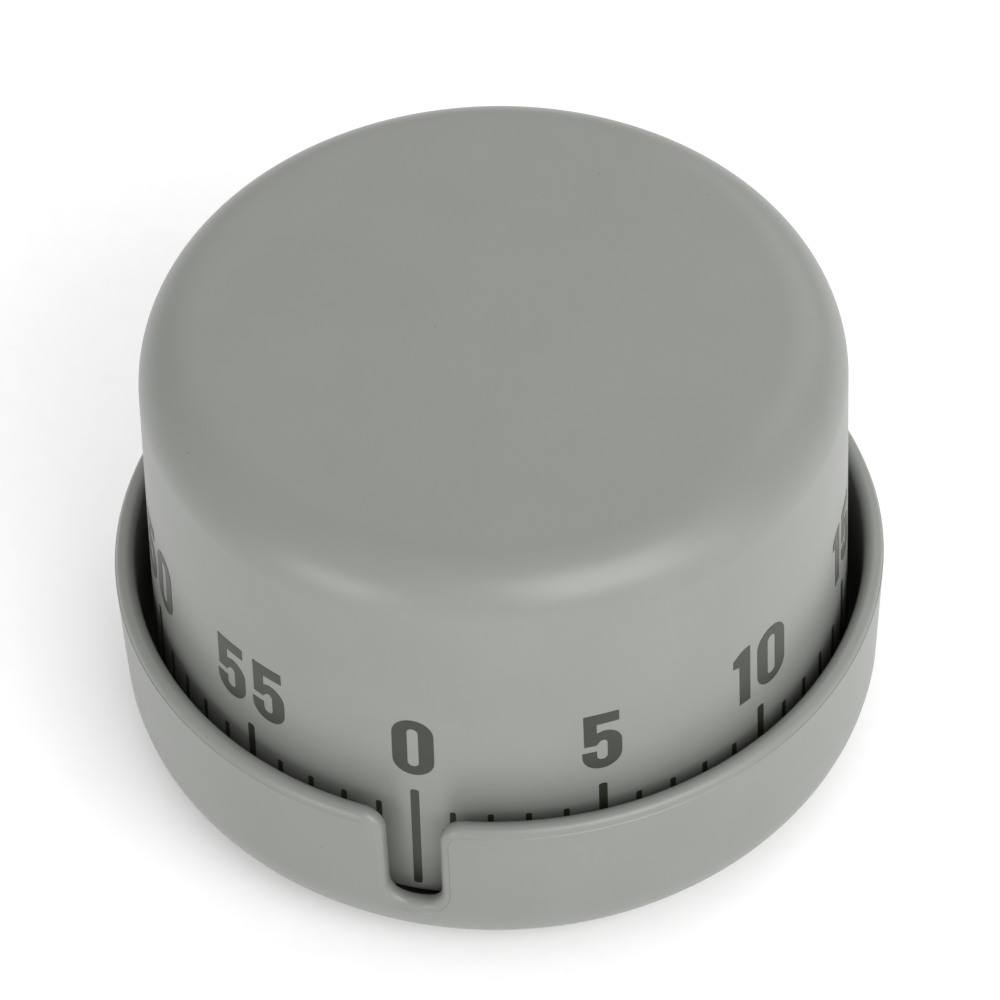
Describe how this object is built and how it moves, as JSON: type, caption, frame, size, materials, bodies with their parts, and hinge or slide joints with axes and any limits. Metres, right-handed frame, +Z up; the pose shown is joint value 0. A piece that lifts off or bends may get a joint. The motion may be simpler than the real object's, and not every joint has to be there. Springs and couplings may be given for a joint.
{
  "type": "clockwork kitchen timer",
  "caption": "Round clockwork kitchen timer: a cup-shaped case with a reading notch, and a tall turning dial cap that winds a spring movement and strikes a bell.",
  "frame": {"origin": "centre of the resting face under the non-slip ring", "axes": "+Z up along the dial's axis; the reading notch in the case faces -Y"},
  "size_m": [0.076, 0.0759, 0.0503],
  "materials": {
    "grey_plastic": "soft matt, moulded through-colour warm grey",
    "scale_ink": null,
    "black_rubber": "matt",
    "plated_steel": "stamped and nickel plated, satin",
    "zinc_steel": "zinc plated",
    "bright_steel": "turned and polished",
    "spring_steel": "blued, oiled",
    "brass": "stamped, satin",
    "nickel_bell": "nickel plated, polished"
  },
  "bodies": {
    "case": {"base_cup": "grey_plastic", "non_slip_ring": "black_rubber", "movement_screws": "zinc_steel", "bottom_plate": "plated_steel", "top_plate": "plated_steel", "pillars": "brass", "pillar_nuts": "brass", "mainspring": "spring_steel", "spring_post": "bright_steel", "lever_stud": "bright_steel", "lever_spring": "spring_steel", "hammer_spring": "spring_steel", "bell": "nickel_bell", "bell_post": "bright_steel", "bell_screw": "zinc_steel"},
    "dial": {"dial_cap": "grey_plastic", "main_arbor": "bright_steel", "wheel_clip": "spring_steel", "letoff_cam": "brass", "ratchet_wheel": "bright_steel"},
    "great": {"great_wheel": "brass", "click_rivet": "bright_steel", "click_spring": "spring_steel"},
    "click": {"click": "bright_steel"},
    "second": {"second_arbor": "bright_steel", "second_wheel": "brass"},
    "third": {"third_arbor": "bright_steel", "third_wheel": "brass"},
    "fourth": {"fourth_arbor": "bright_steel", "fourth_wheel": "brass", "strike_star": "bright_steel"},
    "escape": {"escape_arbor": "bright_steel", "escape_wheel": "brass"},
    "pallet": {"pallet_arbor": "bright_steel", "pallet_lever": "plated_steel", "pallet_pins": "bright_steel", "balance_bar": "brass"},
    "hammer": {"hammer_arbor": "bright_steel", "hammer_tail": "plated_steel", "hammer_arm": "plated_steel", "hammer_head": "bright_steel", "hammer_stop_arm": "plated_steel"},
    "release": {"release_lever": "plated_steel"}
  },
  "joints": [
    {"name": "dial_turn", "type": "hinge", "parent": "case", "child": "dial", "pos_m": [0, 0, 0], "axis": [0, 0, 1], "range_deg": [-354, 0]},
    {"name": "great_wheel_turn", "type": "hinge", "parent": "case", "child": "great", "pos_m": [0, 0, 0], "axis": [0, 0, 1], "continuous": true},
    {"name": "second_wheel_turn", "type": "hinge", "parent": "case", "child": "second", "pos_m": [-0.00479, -0.01316, 0], "axis": [0, 0, 1], "continuous": true},
    {"name": "third_wheel_turn", "type": "hinge", "parent": "case", "child": "third", "pos_m": [0.00508, -0.01675, 0], "axis": [0, 0, 1], "continuous": true},
    {"name": "fourth_wheel_turn", "type": "hinge", "parent": "case", "child": "fourth", "pos_m": [0.01344, -0.01343, 0], "axis": [0, 0, 1], "continuous": true},
    {"name": "escape_wheel_turn", "type": "hinge", "parent": "case", "child": "escape", "pos_m": [0.01759, -0.00718, 0], "axis": [0, 0, 1], "continuous": true},
    {"name": "pallet_swing", "type": "hinge", "parent": "case", "child": "pallet", "pos_m": [0.01899, 0.0007, 0], "axis": [0, 0, 1], "range_deg": [-3, 3]},
    {"name": "click_lift", "type": "hinge", "parent": "great", "child": "click", "pos_m": [-0.00587, 0.00529, 0], "axis": [0, 0, 1], "range_deg": [0, 12], "stiffness_Nm_per_rad": 0.00002},
    {"name": "release_lever_drop", "type": "hinge", "parent": "case", "child": "release", "pos_m": [-0.00975, -0.0152, 0], "axis": [0, 0, 1], "range_deg": [0, 8]},
    {"name": "hammer_swing", "type": "hinge", "parent": "case", "child": "hammer", "pos_m": [0.0125, -0.02165, 0], "axis": [0, 0, 1], "range_deg": [-2.5, 9], "stiffness_Nm_per_rad": 0.00001}
  ],
  "couplings": [
    {"joint": "great_wheel_turn", "follows": "dial_turn", "ratio": 1},
    {"joint": "second_wheel_turn", "follows": "dial_turn", "ratio": -6},
    {"joint": "third_wheel_turn", "follows": "dial_turn", "ratio": 30},
    {"joint": "fourth_wheel_turn", "follows": "dial_turn", "ratio": -150},
    {"joint": "escape_wheel_turn", "follows": "dial_turn", "ratio": 600}
  ]
}
